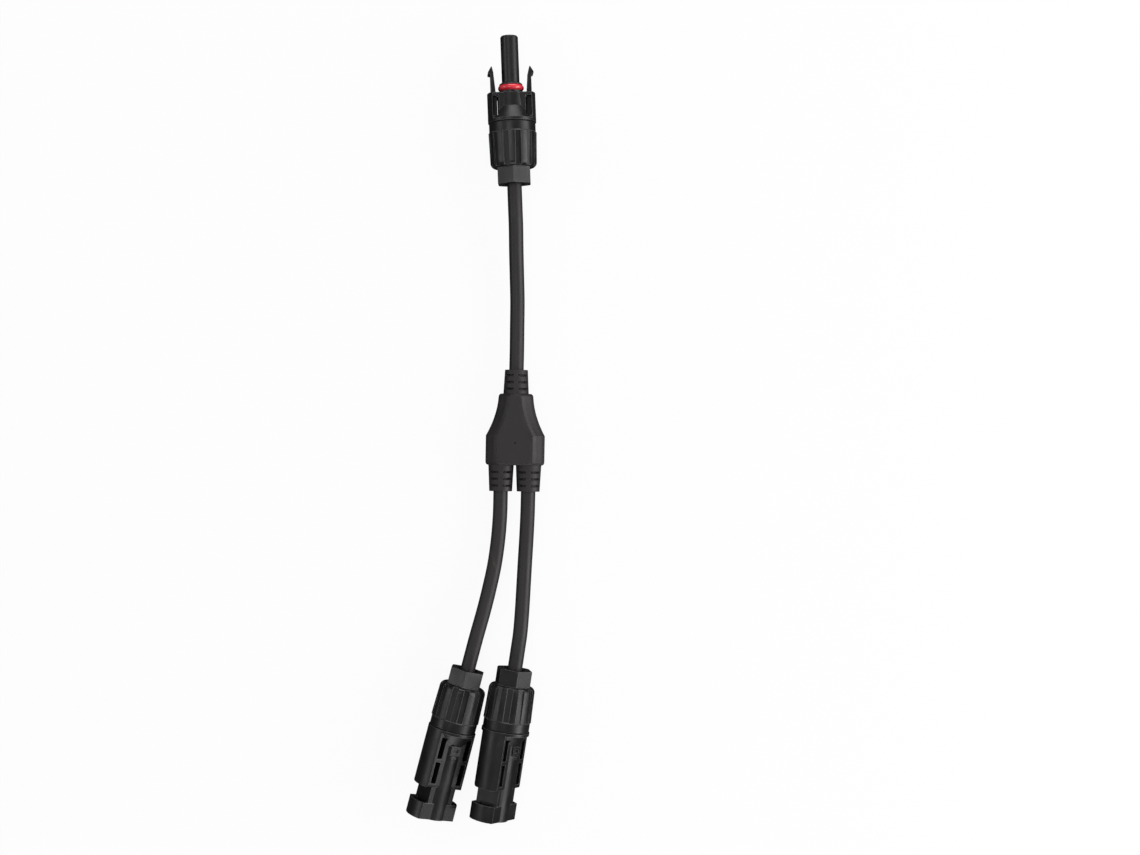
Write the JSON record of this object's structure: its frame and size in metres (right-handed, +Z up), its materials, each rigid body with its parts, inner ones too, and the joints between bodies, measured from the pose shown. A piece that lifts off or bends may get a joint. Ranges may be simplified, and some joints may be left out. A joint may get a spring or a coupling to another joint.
{
  "type": "solar cable connector",
  "caption": "Y-branch solar cable harness: a latching plug with a sealed nose, a moulded splitter and two receptacles on short cables.",
  "frame": {"origin": "bottom centre of the box round the housings, nuts and splitter", "axes": "+Y along the harness from the receptacles to the plug, +Z up, +X to the right when seen from above with the plug away"},
  "size_m": [0.0561, 0.318, 0.0195],
  "materials": {
    "black_plastic": "satin moulded",
    "claw_plastic": "satin moulded",
    "grommet_rubber": "matt",
    "red_silicone": "glossy",
    "splitter_rubber": "matt",
    "cable_jacket": "matt",
    "tinned_copper": "tinned strands",
    "tinned_contact": "tin plated",
    "spring_bronze": "bare bronze"
  },
  "bodies": {
    "harness": {"splitter_moulding": "splitter_rubber", "splice_ferrule": "tinned_contact", "trunk_splice_conductor": "tinned_copper", "left_splice_conductor": "tinned_copper", "right_splice_conductor": "tinned_copper", "trunk_splitter_end": "cable_jacket", "left_splitter_end": "cable_jacket", "right_splitter_end": "cable_jacket", "trunk_cable": "cable_jacket", "left_branch_cable": "cable_jacket", "right_branch_cable": "cable_jacket", "plug_housing": "black_plastic", "plug_contact_socket": "tinned_contact", "plug_contact_spring": "spring_bronze", "plug_seal_ring": "red_silicone", "plug_grommet": "grommet_rubber", "plug_cable_end": "cable_jacket", "plug_conductor": "tinned_copper", "left_housing": "black_plastic", "left_contact_pin": "tinned_contact", "left_grommet": "grommet_rubber", "left_cable_end": "cable_jacket", "left_conductor": "tinned_copper", "right_housing": "black_plastic", "right_contact_pin": "tinned_contact", "right_grommet": "grommet_rubber", "right_cable_end": "cable_jacket", "right_conductor": "tinned_copper"},
    "latch_left": {"plug_latch_left": "black_plastic"},
    "latch_right": {"plug_latch_right": "black_plastic"},
    "plug_claw": {"plug_clamp_claw": "claw_plastic"},
    "plug_nut": {"plug_nut": "black_plastic"},
    "left_claw": {"left_clamp_claw": "claw_plastic"},
    "left_nut": {"left_nut": "black_plastic"},
    "right_claw": {"right_clamp_claw": "claw_plastic"},
    "right_nut": {"right_nut": "black_plastic"}
  },
  "joints": [
    {"name": "plug_claw_slide", "type": "slide", "parent": "harness", "child": "plug_claw", "axis": [0.0366, -0.9993, 0], "range_m": [0, 0.006]},
    {"name": "plug_nut_turn", "type": "hinge", "parent": "plug_claw", "child": "plug_nut", "pos_m": [0.01534, 0.11171, 0.00975], "axis": [0.0366, -0.9993, 0], "range_deg": [0, 1440]},
    {"name": "left_claw_slide", "type": "slide", "parent": "harness", "child": "left_claw", "axis": [0.2538, 0.9673, 0], "range_m": [0, 0.006]},
    {"name": "left_nut_turn", "type": "hinge", "parent": "left_claw", "child": "left_nut", "pos_m": [-0.0063, -0.10959, 0.00975], "axis": [0.2538, 0.9673, 0], "range_deg": [0, 1440]},
    {"name": "right_claw_slide", "type": "slide", "parent": "harness", "child": "right_claw", "axis": [0.1513, 0.9885, 0], "range_m": [0, 0.006]},
    {"name": "right_nut_turn", "type": "hinge", "parent": "right_claw", "child": "right_nut", "pos_m": [0.01406, -0.10964, 0.00975], "axis": [0.1513, 0.9885, 0], "range_deg": [0, 1440]},
    {"name": "latch_left_press", "type": "hinge", "parent": "harness", "child": "latch_left", "pos_m": [0.00783, 0.12624, 0.01036], "axis": [-0.0871, -0.0032, -0.9962], "range_deg": [0, 3], "stiffness_Nm_per_rad": 0.6},
    {"name": "latch_right_press", "type": "hinge", "parent": "harness", "child": "latch_right", "pos_m": [0.02177, 0.12675, 0.00914], "axis": [0.0871, 0.0032, 0.9962], "range_deg": [0, 3], "stiffness_Nm_per_rad": 0.6}
  ],
  "couplings": [
    {"joint": "plug_nut_turn", "follows": "plug_claw_slide", "rad_per_m": 4188.8},
    {"joint": "left_nut_turn", "follows": "left_claw_slide", "rad_per_m": 4188.8},
    {"joint": "right_nut_turn", "follows": "right_claw_slide", "rad_per_m": 4188.8}
  ]
}
